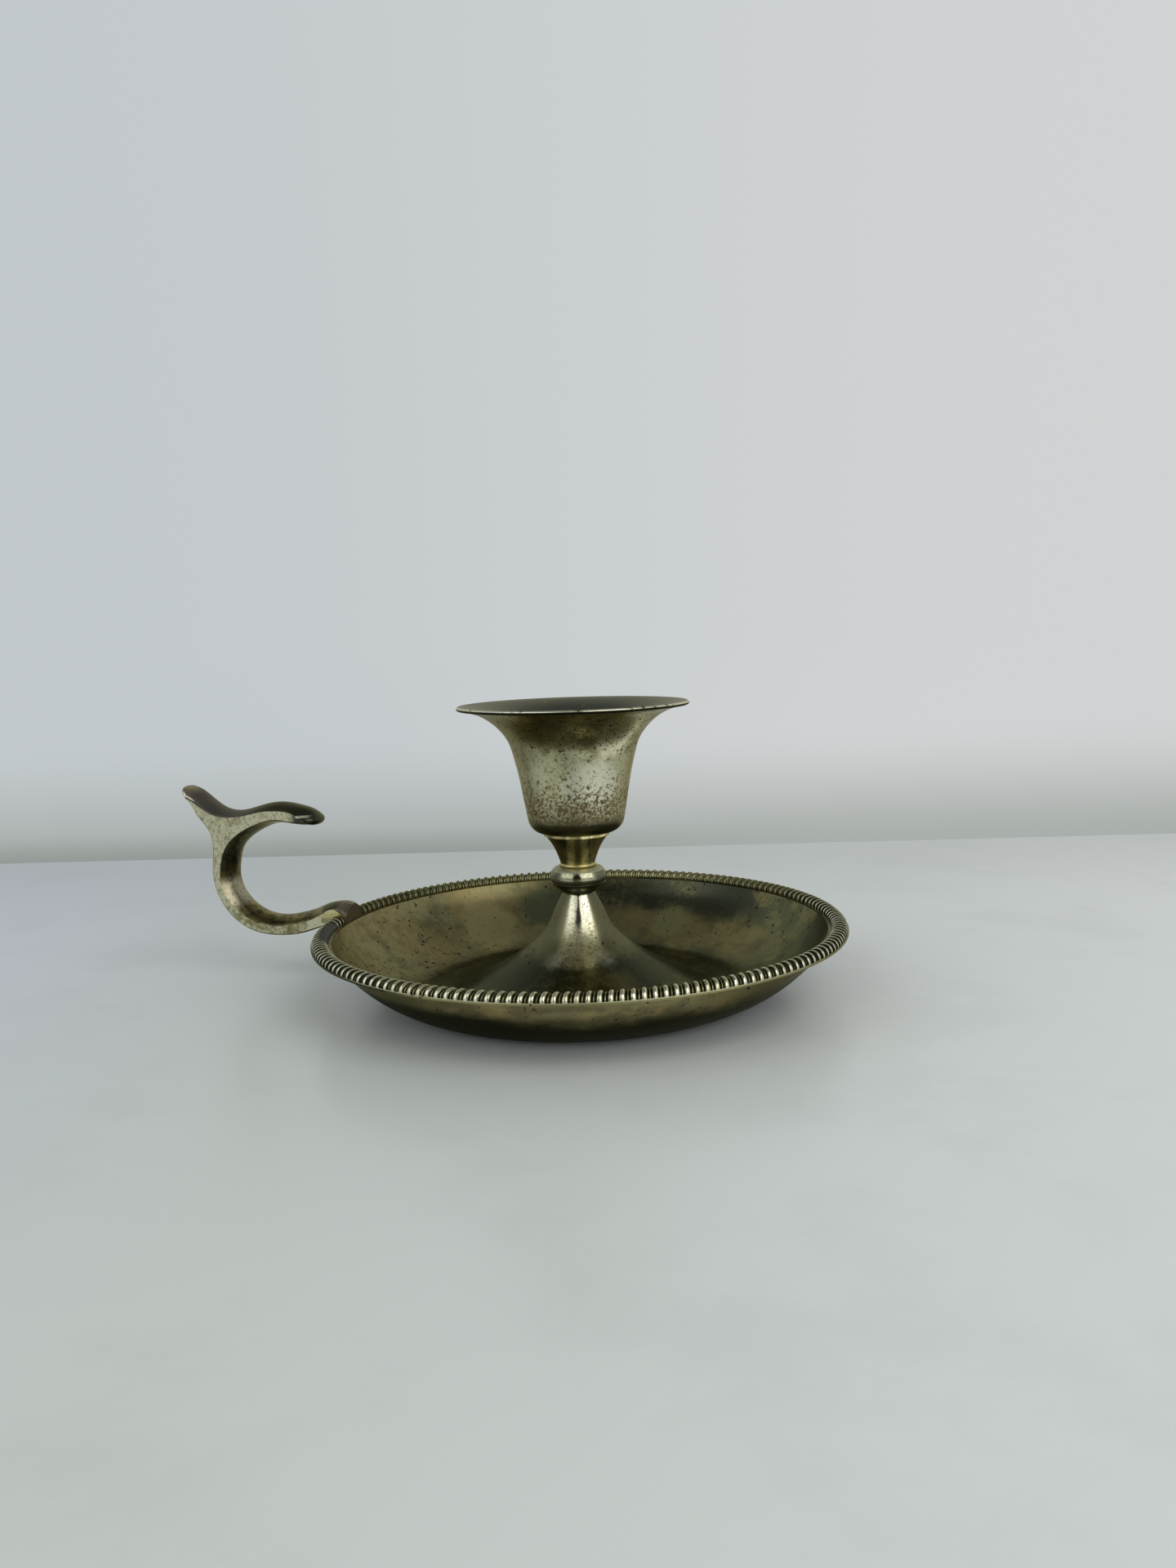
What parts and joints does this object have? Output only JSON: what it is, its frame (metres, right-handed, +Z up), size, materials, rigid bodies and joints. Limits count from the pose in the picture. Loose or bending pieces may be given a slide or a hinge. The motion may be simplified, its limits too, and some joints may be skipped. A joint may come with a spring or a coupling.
{
  "type": "chamberstick",
  "caption": "Round dished chamberstick with a rope border, a bell-shaped candle cup on a knopped stem and a cast finger-loop handle with a thumb rest.",
  "frame": {"origin": "centre of the foot ring, on the surface that the pan stands on", "axes": "+Z up along the pan's and the cup's common axis, -X towards the handle"},
  "size_m": [0.1848, 0.14, 0.0761],
  "materials": {
    "pan_plate": "silver plate over brass, tarnished olive brown inside and out, with dark pits",
    "border_plate": "silver plate over brass, worn bright on the ridges and black in the grooves",
    "handle_plate": "silver plate over brass, cast, pale on its flat sides, dark on the thumb rest",
    "braze_brass": "bare yellow brass, dull",
    "knop_plate": "silver plate over brass, satin, with a bright band",
    "collar_brass": "worn through to yellow brass",
    "spool_plate": "silver plate over brass, olive brown and satin",
    "cup_plate": "silver plate over brass, pale with brown speckles, darker under the lip and inside",
    "screw_brass": "turned brass, dull"
  },
  "bodies": {
    "root": {"drip_pan": "pan_plate", "gadroon_border": "border_plate", "handle": "handle_plate", "saddle_braze_near": "braze_brass", "saddle_braze_far": "braze_brass", "knop": "knop_plate", "spool_collar": "collar_brass", "spool": "spool_plate", "candle_cup": "cup_plate", "centre_screw": "screw_brass", "washer": "screw_brass", "nut": "screw_brass"}
  },
  "joints": []
}
